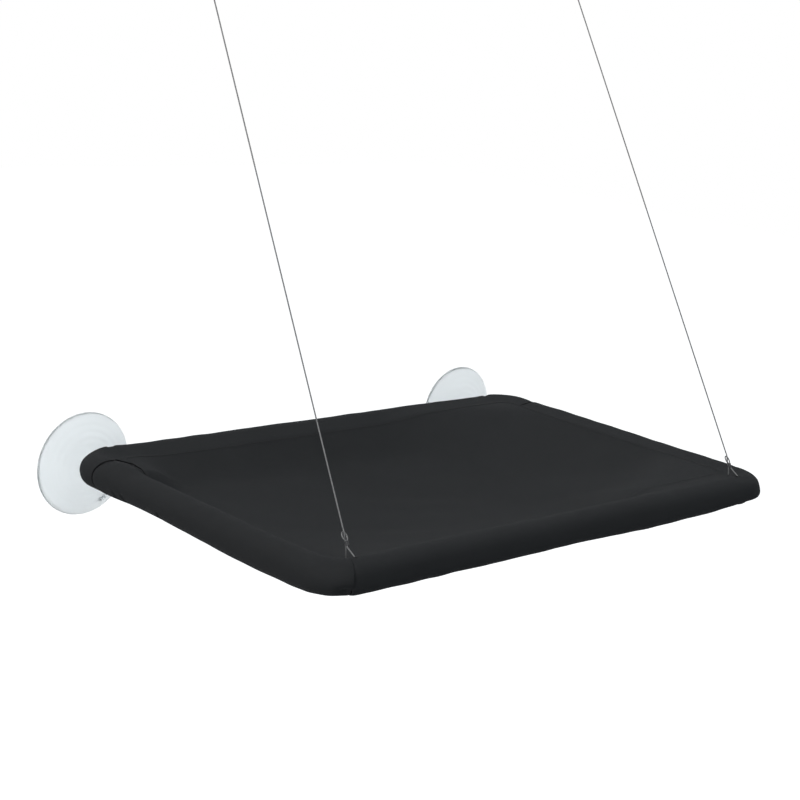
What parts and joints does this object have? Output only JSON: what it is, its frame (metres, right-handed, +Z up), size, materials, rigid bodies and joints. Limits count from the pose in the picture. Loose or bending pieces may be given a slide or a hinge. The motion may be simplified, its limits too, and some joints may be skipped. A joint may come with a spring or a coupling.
{
  "type": "window mounted cat perch",
  "caption": "Window perch for a cat: tube frame in a padded fabric cover, clipped to two suction cups and hung at the front from two more by steel cables; the tray folds up against the glass",
  "frame": {"origin": "on the glass plane, midway between the centres of the two lower suction cups", "axes": "+X right along the window as seen from the room, +Y through the glass away from the room, +Z up"},
  "size_m": [0.573, 0.3902, 0.72],
  "materials": {
    "tube_steel": "bright zinc plated thin-wall tube",
    "elbow_plastic": "moulded black nylon, fine texture",
    "cover_cloth": "matt black coated woven cloth over thin foam",
    "cup_vinyl": "translucent milky soft vinyl, smooth",
    "stud_steel": "plain threaded steel",
    "clip_plastic": "moulded black nylon, fine texture",
    "washer_steel": "zinc plated",
    "nut_plastic": "clear to white nylon, smooth",
    "cable_steel": "bare stranded wire rope",
    "ferrule_metal": "crimped, dull"
  },
  "bodies": {
    "window_set": {"lower_cup_left": "cup_vinyl", "upper_cup_left": "cup_vinyl", "lower_stud_left": "stud_steel", "upper_stud_left": "stud_steel", "tube_clip_left": "clip_plastic", "upper_eye_left": "cable_steel", "upper_ferrule_left": "ferrule_metal", "cable_left": "cable_steel", "upper_back_washer_left": "washer_steel", "lower_cup_right": "cup_vinyl", "upper_cup_right": "cup_vinyl", "lower_stud_right": "stud_steel", "upper_stud_right": "stud_steel", "tube_clip_right": "clip_plastic", "upper_eye_right": "cable_steel", "upper_ferrule_right": "ferrule_metal", "cable_right": "cable_steel", "upper_back_washer_right": "washer_steel"},
    "tray": {"front_tube": "tube_steel", "rear_tube": "tube_steel", "left_tube": "tube_steel", "right_tube": "tube_steel", "elbow_front_left": "elbow_plastic", "elbow_front_right": "elbow_plastic", "elbow_rear_left": "elbow_plastic", "elbow_rear_right": "elbow_plastic", "cover_seat": "cover_cloth", "cover_front_sleeve": "cover_cloth", "cover_rear_sleeve": "cover_cloth", "cover_left_sleeve": "cover_cloth", "cover_right_sleeve": "cover_cloth", "hitch_left": "cable_steel", "hitch_right": "cable_steel", "lower_ferrule_left": "ferrule_metal", "lower_ferrule_right": "ferrule_metal"},
    "lower_left_washer_set": {"lower_washer_left": "washer_steel"},
    "lower_left_nut_set": {"lower_nut_left": "nut_plastic"},
    "upper_left_washer_set": {"upper_washer_left": "washer_steel"},
    "upper_left_nut_set": {"upper_nut_left": "nut_plastic"},
    "lower_right_washer_set": {"lower_washer_right": "washer_steel"},
    "lower_right_nut_set": {"lower_nut_right": "nut_plastic"},
    "upper_right_washer_set": {"upper_washer_right": "washer_steel"},
    "upper_right_nut_set": {"upper_nut_right": "nut_plastic"}
  },
  "joints": [
    {"name": "tray_fold", "type": "hinge", "parent": "window_set", "child": "tray", "pos_m": [0, -0.046, 0.013], "axis": [-1, 0, 0], "range_deg": [0, 85], "deforming": ["cable_left", "cable_right"]},
    {"name": "lower_left_back_off", "type": "slide", "parent": "window_set", "child": "lower_left_washer_set", "axis": [0, 1, 0], "range_m": [0, 0.002]},
    {"name": "lower_left_turn", "type": "hinge", "parent": "lower_left_washer_set", "child": "lower_left_nut_set", "pos_m": [-0.2385, -0.0275, 0], "axis": [0, 1, 0], "range_deg": [0, 720]},
    {"name": "upper_left_back_off", "type": "slide", "parent": "window_set", "child": "upper_left_washer_set", "axis": [0, -1, 0], "range_m": [0, 0.002]},
    {"name": "upper_left_turn", "type": "hinge", "parent": "upper_left_washer_set", "child": "upper_left_nut_set", "pos_m": [-0.219, -0.0325, 0.624], "axis": [0, -1, 0], "range_deg": [0, 720]},
    {"name": "lower_right_back_off", "type": "slide", "parent": "window_set", "child": "lower_right_washer_set", "axis": [0, 1, 0], "range_m": [0, 0.002]},
    {"name": "lower_right_turn", "type": "hinge", "parent": "lower_right_washer_set", "child": "lower_right_nut_set", "pos_m": [0.2385, -0.0275, 0], "axis": [0, 1, 0], "range_deg": [0, 720]},
    {"name": "upper_right_back_off", "type": "slide", "parent": "window_set", "child": "upper_right_washer_set", "axis": [0, -1, 0], "range_m": [0, 0.002]},
    {"name": "upper_right_turn", "type": "hinge", "parent": "upper_right_washer_set", "child": "upper_right_nut_set", "pos_m": [0.219, -0.0325, 0.624], "axis": [0, -1, 0], "range_deg": [0, 720]}
  ],
  "couplings": [
    {"joint": "lower_left_back_off", "follows": "lower_left_turn", "m_per_rad": 0.00015915},
    {"joint": "upper_left_back_off", "follows": "upper_left_turn", "m_per_rad": 0.00015915},
    {"joint": "lower_right_back_off", "follows": "lower_right_turn", "m_per_rad": 0.00015915},
    {"joint": "upper_right_back_off", "follows": "upper_right_turn", "m_per_rad": 0.00015915}
  ]
}
